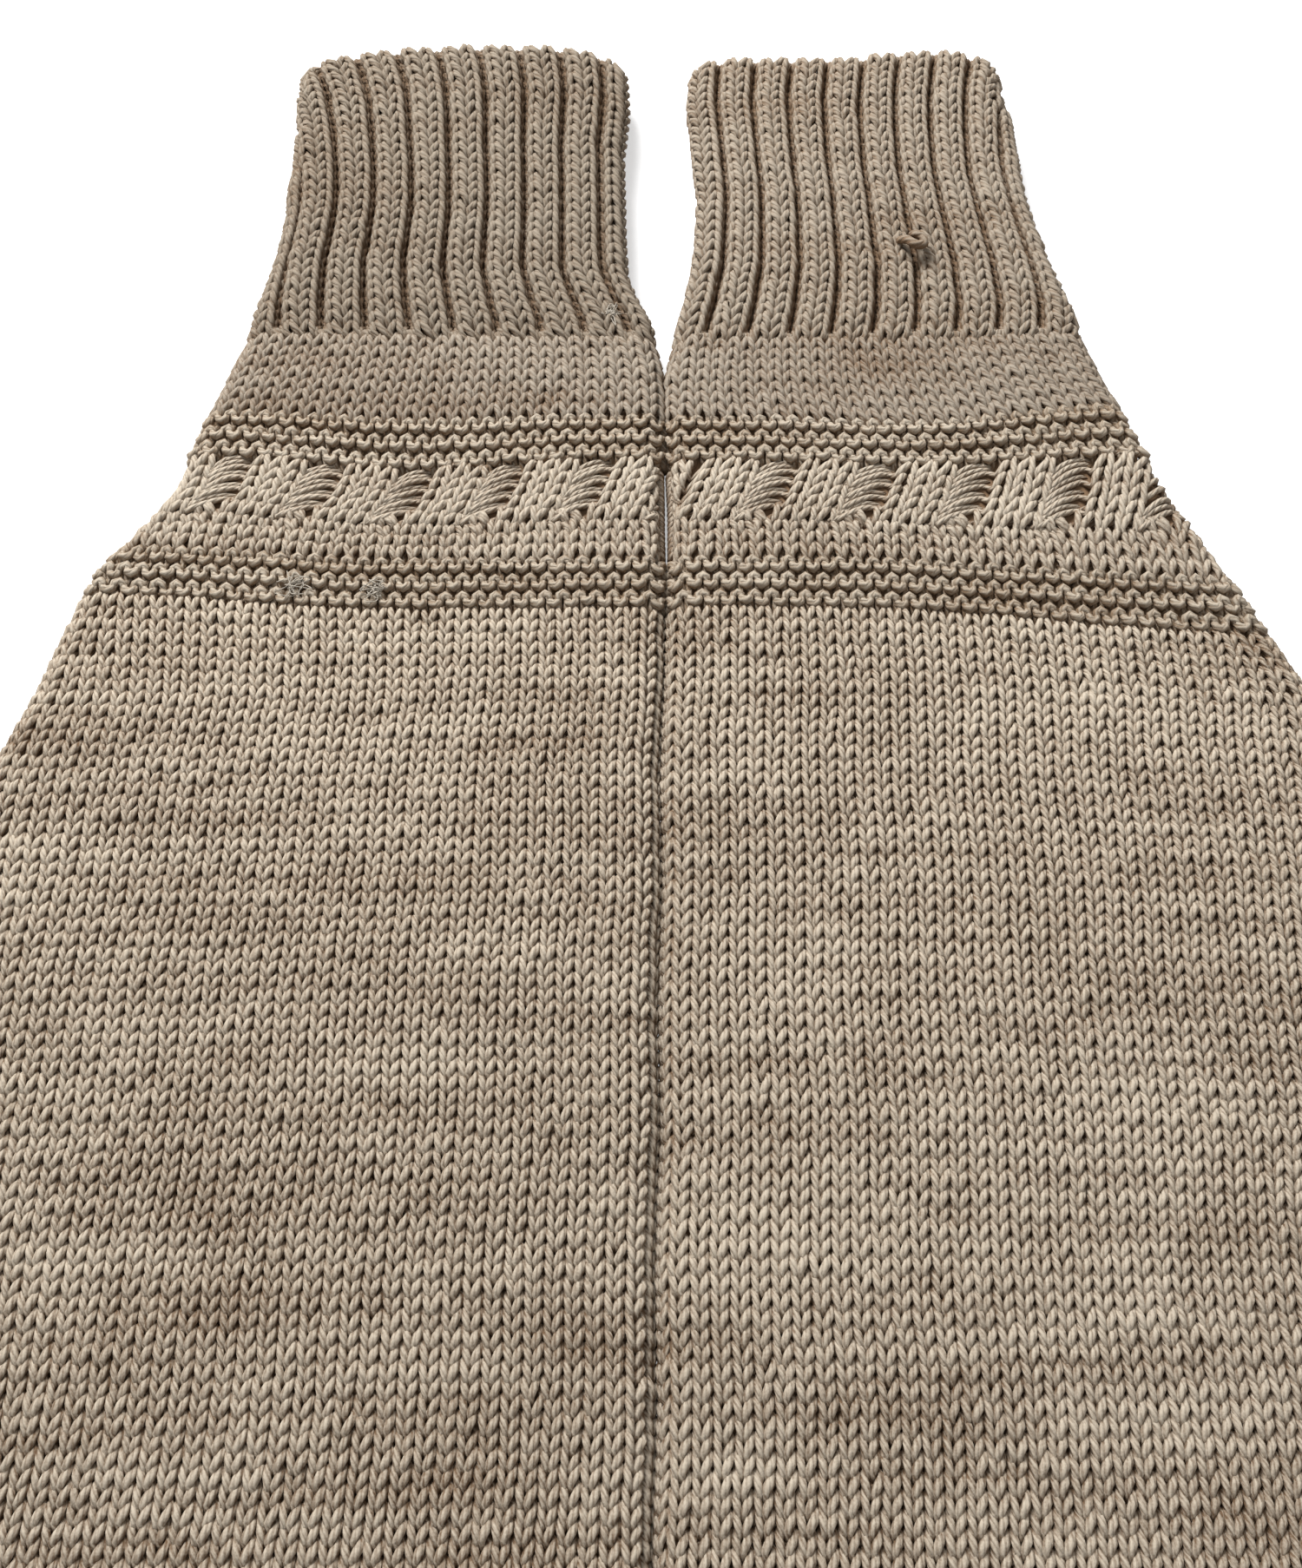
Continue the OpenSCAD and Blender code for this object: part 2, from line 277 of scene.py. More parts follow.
def spin(name, strands, face=1):
    """Turns strands into round yarn: smooth closed tubes that keep the way along them for their plies, with a
    depth attribute for the wool's painted shade.
    """
    sides = 6 if face > 0 else 4
    curve = bpy.data.curves.new(name, "CURVE")
    curve.dimensions = "3D"
    curve.bevel_depth = YARN
    curve.bevel_resolution = 1 if face > 0 else 0
    curve.use_fill_caps = True
    lengths, counts = [], []
    for points, thick, _ in strands:
        strand = curve.splines.new("POLY")
        strand.points.add(len(points) - 1)
        co = np.ones((len(points), 4), np.float32)
        co[:, :3] = points
        strand.points.foreach_set("co", co.ravel())
        strand.points.foreach_set("radius", thick.astype(np.float32))
        lengths.append(np.linalg.norm(np.diff(points, axis=0), axis=1).sum())
        counts.append(len(points))
    drawn = bpy.data.objects.new(name + "_line", curve)
    bpy.context.scene.collection.objects.link(drawn)
    mesh = bpy.data.meshes.new_from_object(drawn.evaluated_get(bpy.context.evaluated_depsgraph_get()))
    bpy.data.objects.remove(drawn)
    # The end caps of all strands come first in the mesh, the last strand's before the others'.
    deep = [np.repeat([d[-1], d[0]], sides) for _, _, d in strands[::-1]]
    deep = np.concatenate(deep + [np.repeat(d, sides) for _, _, d in strands])
    facing = np.zeros(len(mesh.vertices) * 3, np.float32)
    mesh.vertex_normals.foreach_get("vector", facing)
    # Painted shade: depth grows where a strand lies deep in the cloth and where its side turns away from the
    # top, and the wool darkens with it.
    turned = 1 - np.clip(face * facing[2::3], 0, 1)
    depth = mesh.attributes.new("depth", "FLOAT", "POINT")
    depth.data.foreach_set("value", np.clip(deep + 0.9 * turned ** 1.3, 0, 1.4).astype(np.float32))
    cap_corners = 2 * (sides - 2) * 3
    order = np.arange(len(strands))
    strand_of = np.concatenate([np.repeat(order[::-1], cap_corners),
                                np.repeat(order, [(c - 1) * sides * 4 for c in counts])])
    uv = np.zeros(len(mesh.loops) * 2, np.float32)
    mesh.uv_layers[0].uv.foreach_get("vector", uv)
    uv = uv.reshape(-1, 2)
    packed = np.stack([uv[:, 0], (strand_of + 0.04 + 0.92 * uv[:, 1]) / len(strands)], 1)
    uv[:, 0] *= np.array(lengths)[strand_of] / mm
    mesh.uv_layers[0].uv.foreach_set("vector", uv.ravel())
    mesh.uv_layers[0].name = "along_yarn"
    mesh.uv_layers.new(name="OFBake").uv.foreach_set("vector", packed.astype(np.float32).ravel())
    made = bmesh.new()
    made.from_mesh(mesh)
    bmesh.ops.remove_doubles(made, verts=made.verts, dist=1e-7)
    for f in made.faces:
        f.smooth = True
    made.to_mesh(mesh)
    made.free()
    piece = bpy.data.objects.new(name, mesh)
    bpy.context.scene.collection.objects.link(piece)
    return piece


def joined(name, pieces):
    with bpy.context.temp_override(active_object=pieces[0], object=pieces[0], selected_objects=pieces,
                                   selected_editable_objects=pieces):
        bpy.ops.object.join()
    pieces[0].name = pieces[0].data.name = name
    return pieces[0]


def node(tree, kind, settings=(), **inputs):
    made = tree.nodes.new(kind)
    for key, value in dict(settings).items():
        setattr(made, key, value)
    for key, value in inputs.items():
        socket = made.inputs[int(key[1:])] if key[1:].isdigit() else made.inputs[key.replace("_", " ")]
        if isinstance(value, bpy.types.NodeSocket):
            tree.links.new(value, socket)
        else:
            socket.default_value = value
    return made


def sums(tree, operation, a, b=0.5, c=0.5):
    return node(tree, "ShaderNodeMath", {"operation": operation}, _0=a, _1=b, _2=c).outputs[0]


def shaded(tree, tone, noise, strength):
    """Adds a noise to a tone, as much paler in places as it is darker in others."""
    return sums(tree, "MULTIPLY_ADD", sums(tree, "SUBTRACT", noise, 0.5), strength, tone)


def stretched_noise(tree, place, scale, start, detail, roughness):
    spot = node(tree, "ShaderNodeMapping", Vector=place, Scale=scale, Location=start).outputs[0]
    return node(tree, "ShaderNodeTexNoise", Scale=1.0, Detail=detail, Roughness=roughness,
                Vector=spot).outputs[0]


def wool(name, light, dark, seed=0.0):
    """Heathered wool: four twisted plies, pale and dark fibres, soft streaks along the courses, and painted
    shade in the grooves between plies and where the depth attribute is high.
    """
    made = bpy.data.materials.new(name)
    made.use_nodes = True
    tree = made.node_tree
    skin = tree.nodes["Principled BSDF"]
    skin.inputs["Roughness"].default_value = 0.88
    skin.inputs["Specular IOR Level"].default_value = 0.1
    skin.inputs["Sheen Weight"].default_value = 0.12
    skin.inputs["Sheen Tint"].default_value = (0.9, 0.74, 0.56, 1)
    skin.inputs["Sheen Roughness"].default_value = 0.5
    yarn = node(tree, "ShaderNodeUVMap", {"uv_map": "along_yarn"}).outputs[0]
    along, around = node(tree, "ShaderNodeSeparateXYZ", _0=yarn).outputs[:2]
    twist = sums(tree, "MULTIPLY_ADD", along, 0.50, sums(tree, "MULTIPLY", around, 4.0))
    ply = sums(tree, "ABSOLUTE", sums(tree, "SINE", sums(tree, "MULTIPLY", twist, math.pi)))
    on_ply = node(tree, "ShaderNodeCombineXYZ", _0=sums(tree, "MULTIPLY", along, 0.55),
                  _1=sums(tree, "MULTIPLY", twist, 3.0)).outputs[0]
    fibres = node(tree, "ShaderNodeTexNoise", {"noise_dimensions": "2D"}, Scale=1.0, Detail=3.0,
                  Roughness=0.6, Vector=on_ply).outputs[0]
    place = node(tree, "ShaderNodeTexCoord").outputs["Object"]
    streaks = stretched_noise(tree, place, (22, 190, 40), (seed, seed, 0), 3.0, 0.55)
    clouds = stretched_noise(tree, place, (18, 34, 18), (seed, 3, 0), 2.0, 0.5)
    fuzz = node(tree, "ShaderNodeTexNoise", Scale=2400.0, Detail=2.0, Vector=place).outputs[0]
    # Painted shade: the grooves between the plies are darker.
    tone = sums(tree, "MULTIPLY_ADD", ply, 0.42, 0.58)
    for noise, strength in ((fibres, 1.25), (streaks, 0.85), (clouds, 0.75), (fuzz, 0.8)):
        tone = shaded(tree, tone, noise, strength)
    # Painted shade: the colour goes towards the dark one where the depth attribute is high.
    depth = node(tree, "ShaderNodeAttribute", {"attribute_name": "depth"}).outputs["Fac"]
    tone = sums(tree, "SUBTRACT", tone, sums(tree, "MULTIPLY", depth, 0.86))
    tone = sums(tree, "MAXIMUM", sums(tree, "MINIMUM", tone, 1.0), 0.0)
    # The dark colour serves both the dark fibres and the painted shade.
    mixed = node(tree, "ShaderNodeMix", {"data_type": "RGBA"}, Factor=tone)
    mixed.inputs["A"].default_value = (*dark, 1)
    mixed.inputs["B"].default_value = (*light, 1)
    tree.links.new(mixed.outputs["Result"], skin.inputs["Base Color"])
    height = sums(tree, "MULTIPLY_ADD", fuzz, 0.35, sums(tree, "MULTIPLY", ply, 0.8))
    height = sums(tree, "MULTIPLY_ADD", fibres, 0.5, height)
    bump = node(tree, "ShaderNodeBump", Strength=0.6, Distance=0.35 * mm, Height=height)
    tree.links.new(bump.outputs[0], skin.inputs["Normal"])
    return made


PLAIN_WOOL = wool("plain_wool", (0.611, 0.525, 0.415), (0.176, 0.109, 0.063))


def dress(piece, material, slot, body, *nodes):
    """Gives a finished piece its wool and hides the CAD nodes that it stands for. A cuff's piece is fixed
    where it lies; any other moves with its body.
    """
    piece.data.materials.clear()
    piece.data.materials.append(material)
    if nodes:
        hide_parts(*nodes)
    if body.endswith("cuff"):
        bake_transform(piece)
    else:
        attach(piece, body)


ARM_COURSES = {"left": 72, "right": 68}
for hand, courses in ARM_COURSES.items():
    step = (ARM_TOP - ARM_LOW) / courses
    for part, rows in (("lower", range(courses // 2)), ("upper", range(courses // 2, courses))):
        strands = work_courses(hand, 1, ARM_LOW, step, rows, 11 + rows[0], plump=1.02)
        piece = spin(f"{hand}_arm_front_{part}", strands)
        dress(piece, PLAIN_WOOL, "plain_wool", f"{hand}_glove", f"{hand}_arm_tube")
    piece = spin(f"{hand}_arm_back", work_courses(hand, -1, ARM_LOW, step, range(courses), 12), face=-1)
    dress(piece, PLAIN_WOOL, "plain_wool", f"{hand}_glove", f"{hand}_arm_tube")


# ---- Arm hems ------------------------------------------------------------------------
# The open end of each arm is the cast-on: two last courses that roll over the mouth, and
# a twisted pair of strands that runs round the edge and holds the loops.
CORD_OUT = 1.6 * LIP         # the edge cord's middle lies this far round the lip
CORD_SWING = 0.55 * mm       # and its two strands swing this far along the glove
HEM_TWISTS = 40              # of the cord along one face of the hem


def edge_cord(hand, face, y, twists, seed):
    """Two strands twisted round each other along a mouth of the tube."""
    rng = np.random.default_rng(seed)
    span = float(girth(hand, y)[2])
    u = np.linspace(0, twists, twists * (6 if face > 0 else 4) + 1)
    strands = []
    for turn in (0, math.pi):
        wobble = np.interp(u, np.arange(twists + 1), rng.normal(0, 0.06, twists + 1))
        phase = u * math.pi * 2 * HANDS[hand] * face + turn
        along = y + np.sign(y) * (CORD_OUT + CORD_SWING * np.sin(phase + wobble))
        lift = 0.15 * mm + 0.5 * mm * np.cos(phase)
        places = lay(hand, face, span * u / twists, along, lift)
        # The third value, higher where a strand dips under the other, is painted shade.
        strands.append((places, 0.95 + wobble, 0.25 - 0.25 * np.cos(phase)))
    return strands


for hand in HANDS:
    step = (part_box("left_arm_hem")[1].y - ARM_END) / 2
    both = []
    for face in (1, -1):
        strands = work_courses(hand, face, ARM_END + 0.2 * step, step * 0.92, range(2), 21)
        strands += edge_cord(hand, face, ARM_END, HEM_TWISTS, 22)
        both.append(spin(f"{hand}_arm_rim_{face}", strands, face))
    dress(joined(f"{hand}_arm_rim", both), PLAIN_WOOL, "plain_wool", f"{hand}_glove", f"{hand}_arm_hem")


# ---- Garter welts --------------------------------------------------------------------
# A band of garter stitch stands above and below the crossed pattern. Courses drawn to the
# front and to the back take turns, so three cords of purl loops run right round the glove.
RIDGED_WOOL = wool("ridged_wool", (0.510, 0.440, 0.350), (0.220, 0.145, 0.087), 1.3)
WELT_COURSES = 6
RIDGE = 0.18 * mm        # how far the cords stand out of the welt and sink between
HALF_CORD = [(0, -.66, -.27, 1.24), (.14, -.61, -.27, 1.22), (.235, -.42, -.22, 1.10), (.28, -.08, -.10, .88),
             (.31, .28, .08, .80), (.25, .62, -.08, .95), (.28, .88, -.20, 1.08), (.37, 1.07, -.26, 1.12)]
CORD_LOOP = HALF_CORD + [(.50, 1.15, -.27, 1.14)] + [(1 - p[0], *p[1:]) for p in HALF_CORD[::-1]]
CORD_LOOPS = {1: run_through(CORD_LOOP, 14, ONE_STITCH), -1: run_through(CORD_LOOP, 8, ONE_STITCH)}


def garter_crossing(j, u):
    return np.full_like(u, -1.0 if j % 2 else 1.0)


def garter_relief(low, step):
    """The welt's surface, which rises and sinks once for every two courses."""
    def cords(j, u, v, y):
        return RIDGE * np.cos((y - low - 0.9 * step) * math.pi / step)
    return cords


for welt in ("lower_welt", "upper_welt"):
    low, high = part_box(f"left_{welt}")[0].y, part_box(f"left_{welt}")[1].y
    step = (high - low) / WELT_COURSES
    for hand in HANDS:
        wales = int(round(float(girth(hand, (low + high) / 2)[2]) / WALE))
        both = []
        for face in (1, -1):
            strands = work_courses(hand, face, low, step, range(WELT_COURSES), 31 + face, garter_crossing,
                                   garter_relief(low, step), wales, slack=0.05, shapes=CORD_LOOPS, plump=1.12)
            both.append(spin(f"{hand}_{welt}_{face}", strands, face))
        dress(joined(f"{hand}_{welt}_cords", both), RIDGED_WOOL, "ridged_wool", f"{hand}_glove",
              f"{hand}_{welt}")


# ---- Crossed bands -------------------------------------------------------------------
# Between the welts, groups of three stitches are carried to the right over the next three.
# Each crossed group stands up like a slanting cord; the strand that is carried on to the
# next group shows as four long floats over a small hole.
CROSSED_WOOL = wool("crossed_wool", (0.565, 0.488, 0.389), (0.185, 0.116, 0.069), 2.1)
BAND_COURSES = 8
FLOAT_COURSES = (4, 5, 6, 7)                # the courses whose strand is carried on as a float
REPEATS = range(-8, 8)                      # enough to run past both sides of either glove
GROUPS = {"left": (-17.2 * mm, 19.9 * mm),  # where one group's left side lies, and the repeat
          "right": (22.0 * mm, 21.1 * mm)}
LEAN = {"left": 0.34, "right": 0.46}        # how far a crossed group leans over for its height
CARRY = {"left": 1.12 * mm, "right": 1.3 * mm}    # how far each course carries it on
CROWN = 0.8 * mm                            # how far its middle stands up
GATHERED = {2: 0.5, 3: 0.95}                # how strongly a course's stitches under a float are drawn aside
GROUP_STITCHES = 6
PLAIN_STITCH = STEEP_LEG + FULL_LEG[:-1]
CARRIED = [(.60, -.22, .18, 1.0), (.76, .20, .34, 1.1), (.93, .66, .10, 1.0), (1.02, .15, -.45, .85)]
UNDER = [(3.28, .85, -.30, .9), (3.42, .10, -.58, .85), (3.34, -.62, -.52, .85)]
PLIES = ((-0.2 * mm, 0, 1.02),              # beside the float's line, sunk under it, thickness
         (1.15 * mm, 0.1 * mm, 0.92))
TOP_PLY = ((2.3 * mm, 0.2 * mm, 0.9),)      # the highest float has one strand more
FLOAT_FOOT = -4.9                           # in mm from the course's own line
FLOAT_CLIMB = 5.9                           # in mm from there to the next group


def group_pattern(row):
    """One repeat of a course: across in stitches, along, out of the cloth and thickness."""
    if row not in FLOAT_COURSES:
        return [(p[0] + k, *p[1:]) for k in range(GROUP_STITCHES) for p in PLAIN_STITCH]
    middle = [(p[0] + k, *p[1:]) for k in (1, 2) for p in PLAIN_STITCH]
    return CARRIED + middle + [(p[0] + 3, *p[1:]) for p in STEEP_LEG[:5]] + UNDER


def float_strand(begin, finish, base, beside, sunk, size, rng):
    """A long strand that climbs in a bow from one crossed group to the side of the next."""
    strand = []
    for t in (0.0, 0.12, 0.3, 0.5, 0.7, 0.88, 1.0):
        bow = math.sin(math.pi * t)
        climb = FLOAT_FOOT + FLOAT_CLIMB * (1 - (1 - t) ** 1.6)
        y = base + climb * mm + (beside * (0.6 + 0.4 * bow) + rng.normal(0, 0.1) * mm)
        lift = (0.95 + 0.4 * bow - 1.8 * t * t) * mm - sunk + rng.normal(0, 0.08) * mm
        # The last value darkens the float towards its end, where it dives: painted shade.
        strand.append((begin + (finish - begin) * t, y, lift, size * (0.8 + 0.2 * bow), 0.25 * t ** 3))
    return strand


def lay_strand(hand, face, line, turn_at=None):
    """Lays a strand of the band on the tube: a whole course, whose ends sink to the turning loops at y
    turn_at, or a float, which is left out unless all of it lies on this face."""
    x, y, lift, thick, deep = line.T
    a, _, span = girth(hand, y)
    s = (x if face > 0 else 2 * GROUPS[hand][0] - x) * HANDS[hand] - a + QUARTER - BEND
    inside = (s > 0.3 * mm) & (s < span - 0.3 * mm)
    if turn_at is None and not inside.all():
        return None
    s, y, lift, thick, deep, span = (part[inside] for part in (s, y, lift, thick, deep, span))
    to_side = np.minimum(s, span - s)
    lift = np.minimum(lift, 0.1 * mm + 1.3 * mm * ease(to_side / (7 * mm)))
    if turn_at is not None:
        end = 1 - ease(to_side / (4 * mm))
        y = y * (1 - end) + turn_at * end
        lift = lift * (1 - end) - 0.42 * WALE * end
        first, last = (0, span[-1]) if s[0] < s[-1] else (span[0], 0)
        s = np.concatenate([[first], s, [last]])
        thick = np.concatenate([[0.9], thick, [0.9]])
        y, lift, deep = (np.concatenate([part[:1], part, part[-1:]]) for part in (y, lift, deep))
    places = lay(hand, face, s, y, lift)
    apart = np.append(True, np.linalg.norm(np.diff(places, axis=0), axis=1) > 0.1 * mm)
    return places[apart], thick[apart], deep[apart]


def crossed_course(hand, face, row, low, step, rng):
    """One course of the band, and the floats that lie over it."""
    origin, repeat = GROUPS[hand]
    base = low + (row + FOOT) * step
    crossed = float(ease((row - 1.5) / 2.0))
    lean = LEAN[hand] * crossed
    wide = repeat * (0.5 + 0.10 * crossed)
    points, floats = [], []
    for k in REPEATS:
        left = origin + k * repeat + CARRY[hand] * max(row - 2, 0)
        at_side = hand == "right" and k == -2      # it would run off the inner side, so it stays plain
        for u, v, w, thick in group_pattern(0 if at_side else row):
            du, dv, dw = rng.normal(0, 0.04, 3)
            over = u < 3.5
            t = (u - 0.5) / 3 if over else (u - 3.5) / 3
            x = left + t * wide if over else left + wide + t * (repeat - wide)
            rise = (v + dv) * step / ROW
            lift = (w + dw) * WALE
            if over:
                rise += crossed * 0.3 * mm * (1 - 2 * t)
                x += lean * (rise + 0.5 * mm)
                lift += crossed * CROWN * max(math.sin(math.pi * min(max(t, 0), 1)), 0) ** 0.6
            elif row in GATHERED:
                x -= GATHERED[row] * (0.3 + 0.7 * t) * max(rise + 0.9 * mm, 0)
                lift -= 0.2 * max(rise, 0)
            # The last value, higher where a point lies low in the cloth, is its painted shade.
            points.append((x + du * WALE, base + rise, lift, 1.1 * thick, 0.5 - lift / (2 * mm)))
        if row in FLOAT_COURSES and not at_side:
            begin = left + wide * 0.80 - lean * 1.5 * mm
            finish = left + repeat + wide * 0.03
            plies = PLIES + TOP_PLY * (row == FLOAT_COURSES[-1])
            strands = [float_strand(begin, finish, base, *ply, rng) for ply in plies]
            points += strands[0][1:-1]
            floats += strands[1:]
    line = run_through(points, int(len(REPEATS) * GROUP_STITCHES * (11.5 if face > 0 else 8)))
    laid = [lay_strand(hand, face, line, base - 0.55 * step / ROW)]
    laid += [lay_strand(hand, face, run_through(strand, 12)) for strand in floats]
    return [strand for strand in laid if strand is not None]


CHAIN_IN = 0.9 * mm          # the turning loops' middle lies this far in from a side
CHAIN_SWING = 0.75 * mm
CHAIN_LINK = 2.6 * mm


def side_chains(hand, low, high):
    """The turning loops at both sides of the band, which hold the ends of its courses."""
    y = np.linspace(low + 1 * mm, high - 1 * mm, 70)
    span = girth(hand, y)[2]
    way = (y - low) * 2 * math.pi / CHAIN_LINK
    chains = []
    for middle in (CHAIN_IN, span - CHAIN_IN):
        for turn in (0, math.pi):
            places = lay(hand, 1, middle + CHAIN_SWING * np.sin(way + turn), y,
                         (0.1 + 0.35 * np.cos(way + turn)) * mm)
            # They are given a fixed depth of 0.35 for painted shade.
            chains.append((places, np.full(len(y), 1.15), np.full(len(y), 0.35)))
    return chains


for hand in HANDS:
    low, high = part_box(f"{hand}_crossed_band")[0].y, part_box(f"{hand}_crossed_band")[1].y
    both = []
    for face in (1, -1):
        rng = np.random.default_rng(41 + face)
        strands = []
        for row in range(BAND_COURSES):
            strands += crossed_course(hand, face, row, low, (high - low) / BAND_COURSES, rng)
        if face > 0:
            strands += side_chains(hand, low, high)
        both.append(spin(f"{hand}_crossed_{face}", strands, face))
    dress(joined(f"{hand}_crossed_groups", both), CROSSED_WOOL, "crossed_wool", f"{hand}_glove",
          f"{hand}_crossed_band")


# ---- Wrists --------------------------------------------------------------------------
# Seven plain courses join the upper welt to the ribbed cuff, three stitches to each rib above.
# They end at the line on which the cuff turns back.
# Its wool is a darker copy of the plain wool, which keeps the lit tops of its plump stitches from coming out
# too bright: painted shade.
WRIST_WOOL = wool("plain_wool_wrist", (0.388, 0.332, 0.266), (0.175, 0.109, 0.064), 0.7)
WRIST_COURSES = 7
# A rib's width in mm at the fold, halfway up the cuff and at its top.
RIB_WIDTH = {"left": (9.6, 9.05, 9.95), "right": (9.1, 8.6, 9.2)}
EVEN_LEG = [(0, -.62, -.22, .95), (.30, -.66, -.10, .88), (.46, -.44, .18, .86), (.28, .08, .32, 1.00),
            (.08, .54, .14, .92), (.18, .93, -.12, .88)]
EVEN_LOOP = EVEN_LEG + [(.50, 1.0, -.22, .95)] + [(1 - p[0], *p[1:]) for p in EVEN_LEG[::-1]]
EVEN_LOOPS = {1: run_through(EVEN_LOOP, 10, ONE_STITCH), -1: run_through(EVEN_LOOP, 7, ONE_STITCH)}

for hand in HANDS:
    low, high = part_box(f"{hand}_wrist_courses")[0].y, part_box(f"{hand}_wrist_courses")[1].y
    wales = int(round(3 * float(girth(hand, FOLD)[2]) / (RIB_WIDTH[hand][0] * mm)))
    both = []
    for face in (1, -1):
        strands = work_courses(hand, face, low, (high - low) / WRIST_COURSES, range(WRIST_COURSES), 51 + face,
                               wales=wales, shapes=EVEN_LOOPS, plump=1.27)
        both.append(spin(f"{hand}_wrist_{face}", strands, face))
    dress(joined(f"{hand}_wrist", both), WRIST_WOOL, "plain_wool", f"{hand}_glove", f"{hand}_wrist_courses")


# ---- Ribbed cuffs --------------------------------------------------------------------
# Ribs of three stitches to the front and one to the back run up each cuff. The outer legs of
# a rib are drawn into the grooves, so it shows one whole stitch between two upright halves.
# The left cuff's wool is darker than the right's: painted shade for its deeper grooves.
RIBBED_WOOL = {"left": wool("ribbed_wool_left", (0.318, 0.267, 0.208), (0.150, 0.094, 0.055), 3.4),
               "right": wool("ribbed_wool_right", (0.385, 0.326, 0.257), (0.185, 0.116, 0.068), 3.4)}
CUFF_COURSES = 28
CUFF_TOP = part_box("left_rib_cuff")[1].y
PLUMP_RIBS = 1.28
FIRST = {"left": 2, "right": 1}          # the pattern's stitch that stands at the inner side
LAST_RIB = 4                             # stitches at the outer side that take up what is left
# Places in stitches from the left of a groove, and where they lie, in shares of a rib's width.
RIB_STITCH = (0, 0.5, 1.0, 1.5, 1.85, 2.15, 2.5, 2.85, 3.15, 3.5, 4.0)
RIB_PLACE = (-0.070, 0.0, 0.070, 0.140, 0.200, 0.325, 0.5, 0.675, 0.800, 0.860, 0.930)
# Places in stitches from the middle of a rib, and how high they stand, in mm.
RIB_OFF = (0, 0.35, 0.65, 0.95, 1.06, 1.35, 2.0)
RIB_HEIGHT = (0.75, 0.70, 0.35, 0.05, -1.10, -1.90, -2.20)
BACK_SUNK = 1.2 * mm                     # the back's ribs are pressed in by the table


def rib_crossing(hand):
    """The first course comes to the front all along, the others go to the back in the grooves."""
    def crossing(j, u):
        groove = np.abs((u + FIRST[hand] - 0.5 + 2) % 4 - 2)
        return np.ones_like(u) if j == 0 else 1 - 2 * (1 - ease((groove - 0.38) / 0.24))
    return crossing


def rib_strength(y):
    """The relief grows from the fold and is half as strong at the top."""
    return ease((y - FOLD + 1 * mm) / (5 * mm)) * (1 - 0.5 * ease((y - CUFF_TOP + 3 * mm) / (6 * mm)))


def rib_width(hand, y):
    """A smooth curve through a rib's three widths."""
    t = np.clip((y - FOLD) / (CUFF_TOP - FOLD), 0, 1)
    fold, half, top = RIB_WIDTH[hand]
    return (fold + t * (4 * half - 3 * fold - top) + 2 * t * t * (fold + top - 2 * half)) * mm


def rib_count(hand, y):
    return int(round(4 * float(girth(hand, y)[2] / rib_width(hand, y))))


def rib_wales(hand, y, u, count):
    """Ribs keep one width from the inner side; the last rib takes up what is left."""
    def own(u):
        ribs = np.floor((u + FIRST[hand]) / 4)
        t = u + FIRST[hand] - 4 * ribs
        drawn = np.interp(t, RIB_STITCH, RIB_PLACE) - (t - 0.5) / 4
        drawn = drawn * ease((y - FOLD + 3 * mm) / (4 * mm))
        return rib_width(hand, y) * ((u + FIRST[hand] - 0.5) / 4 + drawn)
    start, kept, end = (own(np.full_like(u, k)) for k in (0, count - LAST_RIB, count))
    spare = (girth(hand, y)[2] - kept + start) / (end - kept)
    return np.where(u < count - LAST_RIB, own(u), kept + (own(u) - kept) * spare) - start


def ribs(hand, face):
    """How far each stitch of the ribbing stands out of the cloth."""
    def relief(j, u, v, y):
        off = np.abs((u + FIRST[hand] - 2.5 + 2) % 4 - 2)
        stand = np.interp(off, RIB_OFF, RIB_HEIGHT) * mm
        return rib_strength(y) * (stand - (BACK_SUNK if face < 0 else 0))
    return relief


for hand in HANDS:
    step = (CUFF_TOP - FOLD) / CUFF_COURSES
    for face, part in ((1, "ribs"), (-1, "back")):
        strands = work_courses(hand, face, FOLD, step, range(CUFF_COURSES), 61 + face, rib_crossing(hand),
                               ribs(hand, face), rib_count, rib_wales, shapes=EVEN_LOOPS, plump=PLUMP_RIBS)
        dress(spin(f"{hand}_cuff_{part}", strands, face), RIBBED_WOOL[hand], "ribbed_wool", f"{hand}_cuff",
              f"{hand}_rib_cuff")


# ---- Cuff rims -----------------------------------------------------------------------
# The rim at the hand end is one more course that rolls in over the mouth, and the twisted
# edge strands that hold its loops.
RIM_COURSE = 2.6 * mm

for hand in HANDS:
    both = []
    for face in (1, -1):
        strands = work_courses(hand, face, CUFF_TOP - RIM_COURSE, RIM_COURSE, range(1, 2), 71 + face,
                               rib_crossing(hand), ribs(hand, face), rib_count, rib_wales, shapes=EVEN_LOOPS,
                               plump=PLUMP_RIBS)
        strands += edge_cord(hand, face, HAND_END, rib_count(hand, HAND_END), 72)
        both.append(spin(f"{hand}_rim_{face}", strands, face))
    dress(joined(f"{hand}_cuff_rim", both), RIBBED_WOOL[hand], "ribbed_wool", f"{hand}_cuff",
          f"{hand}_cuff_edge")


# ---- Side seams ----------------------------------------------------------------------
# Each glove is knitted flat and sewn up along its outer side. The two selvedges are turned
# to the inside and overcast with the same wool, so the seam is a narrow coiled ridge.
SEAM_WOOL = wool("seam_wool", (0.36, 0.295, 0.23), (0.11, 0.08, 0.055), 4.2)
SEAM_IN = 5.2 * mm           # the seam's middle lies this far in from the glove's outer side
SEAM_STITCH = 2.9 * mm
SEAM_WIDE = 0.85 * mm        # from its middle to the overcast yarn, across and up
SEAM_HIGH = 0.6 * mm


